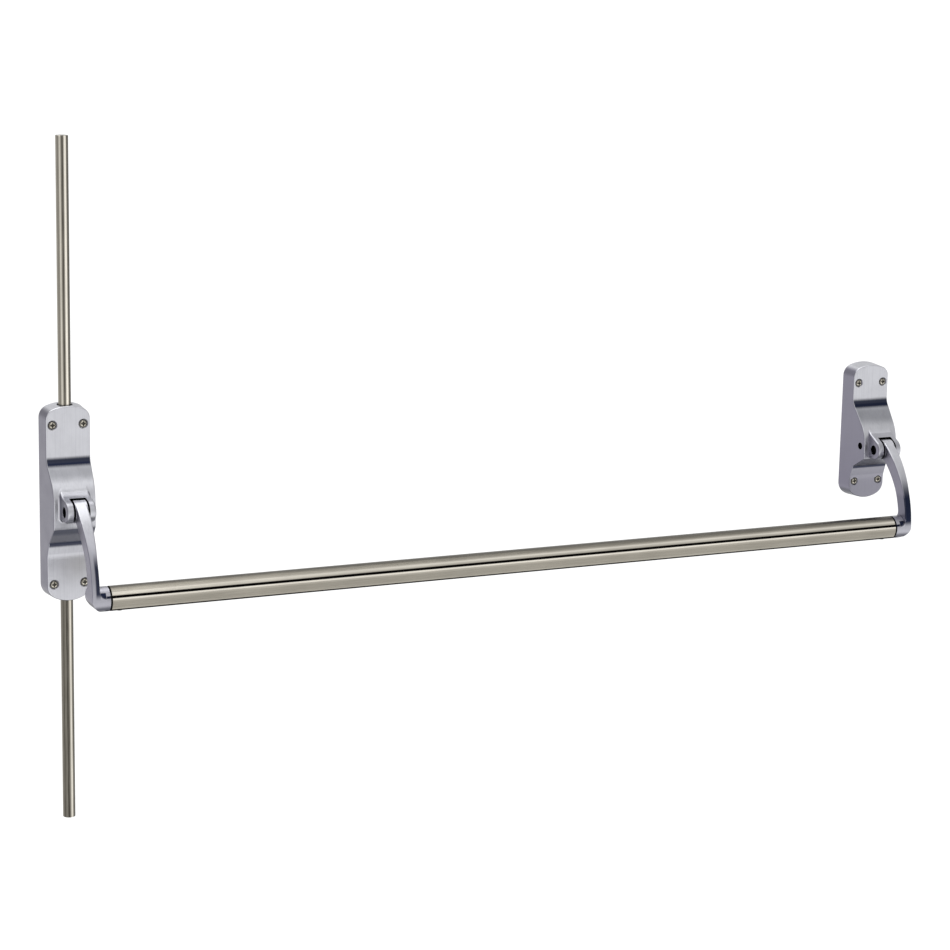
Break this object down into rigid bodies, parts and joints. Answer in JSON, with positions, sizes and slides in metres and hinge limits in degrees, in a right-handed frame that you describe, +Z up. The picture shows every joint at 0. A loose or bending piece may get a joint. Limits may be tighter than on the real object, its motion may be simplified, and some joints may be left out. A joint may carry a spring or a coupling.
{
  "type": "panic exit bar",
  "caption": "Crossbar panic exit device: push bar on two curved arms between cast door cases; pushing it draws in an upper and a lower vertical rod through a reversing rocker",
  "frame": {"origin": "on the door's face, at the centre of the active case's four fixing screws", "axes": "+X along the crossbar from the active case to the hinge case, +Y into the door, +Z up"},
  "size_m": [1.172, 0.1386, 0.8228],
  "materials": {
    "satin_cast": "satin brushed casting",
    "satin_nickel": "satin nickel, drawn lengthwise",
    "nickel_screw": "nickel plated, worn bright",
    "black_ring": "matt black",
    "dark_steel": "blackened",
    "zinc_plate": "zinc plated sheet",
    "zinc_steel": "zinc plated",
    "black_nylon": "moulded",
    "spring_steel": "oiled spring wire",
    "black_rubber": "moulded"
  },
  "bodies": {
    "frame": {"active_case": "satin_cast", "hinge_case": "satin_cast", "active_back_plate": "zinc_plate", "hinge_back_plate": "zinc_plate", "active_case_screws": "nickel_screw", "hinge_case_screws": "nickel_screw", "back_plate_screws": "zinc_steel", "guide_screws": "zinc_steel", "bracket_screws": "zinc_steel", "active_axle": "dark_steel", "hinge_axle": "dark_steel", "axle_set_screws": "dark_steel", "rocker_post": "zinc_steel", "rocker_clip": "zinc_steel", "lift_slide_guide": "black_nylon", "pull_slide_guide": "black_nylon", "main_spring_bracket": "zinc_plate", "hinge_spring_bracket": "zinc_plate", "main_spring": "spring_steel", "hinge_spring": "spring_steel", "rest_bumper": "black_rubber", "rod_guide_bushes": "black_nylon"},
    "push_bar": {"active_arm": "satin_cast", "hinge_arm": "satin_cast", "crossbar_tube": "satin_nickel", "bar_end_rings": "black_ring", "bar_fixing_screws": "nickel_screw", "active_hub_bushes": "black_nylon", "hinge_hub_bushes": "black_nylon"},
    "lower_rod": {"lift_slide": "zinc_steel", "lower_rod_tube": "satin_nickel", "lower_rod_pin": "zinc_steel", "lower_rod_plug": "zinc_steel"},
    "upper_rod": {"pull_slide": "zinc_steel", "upper_rod_tube": "satin_nickel", "upper_rod_pin": "zinc_steel", "upper_rod_plug": "zinc_steel"},
    "rocker": {"reversing_rocker": "zinc_steel"},
    "dog": {"dogging_shaft": "dark_steel", "dogging_crank": "zinc_steel"}
  },
  "joints": [
    {"name": "bar_swing", "type": "hinge", "parent": "frame", "child": "push_bar", "pos_m": [0, -0.0655, 0], "axis": [1, 0, 0], "range_deg": [0, 20], "stiffness_Nm_per_rad": 4, "springref_deg": -34.38, "deforming": ["hinge_spring"]},
    {"name": "lower_rod_slide", "type": "slide", "parent": "frame", "child": "lower_rod", "axis": [0, 0, 1], "range_m": [0, 0.0105], "deforming": ["main_spring"]},
    {"name": "upper_rod_slide", "type": "slide", "parent": "frame", "child": "upper_rod", "axis": [0, 0, -1], "range_m": [0, 0.0105]},
    {"name": "rocker_turn", "type": "hinge", "parent": "frame", "child": "rocker", "pos_m": [0, -0.0067, 0.042], "axis": [0, -1, 0], "range_deg": [0, 39.62]},
    {"name": "dog_turn", "type": "hinge", "parent": "frame", "child": "dog", "pos_m": [1.115, -0.045, 0.0025], "axis": [-1, 0, 0], "range_deg": [0, 95]}
  ],
  "couplings": [
    {"joint": "lower_rod_slide", "follows": "bar_swing", "m_per_rad": 0.029848},
    {"joint": "upper_rod_slide", "follows": "bar_swing", "m_per_rad": 0.029848},
    {"joint": "rocker_turn", "follows": "bar_swing", "ratio": 1.9762}
  ]
}
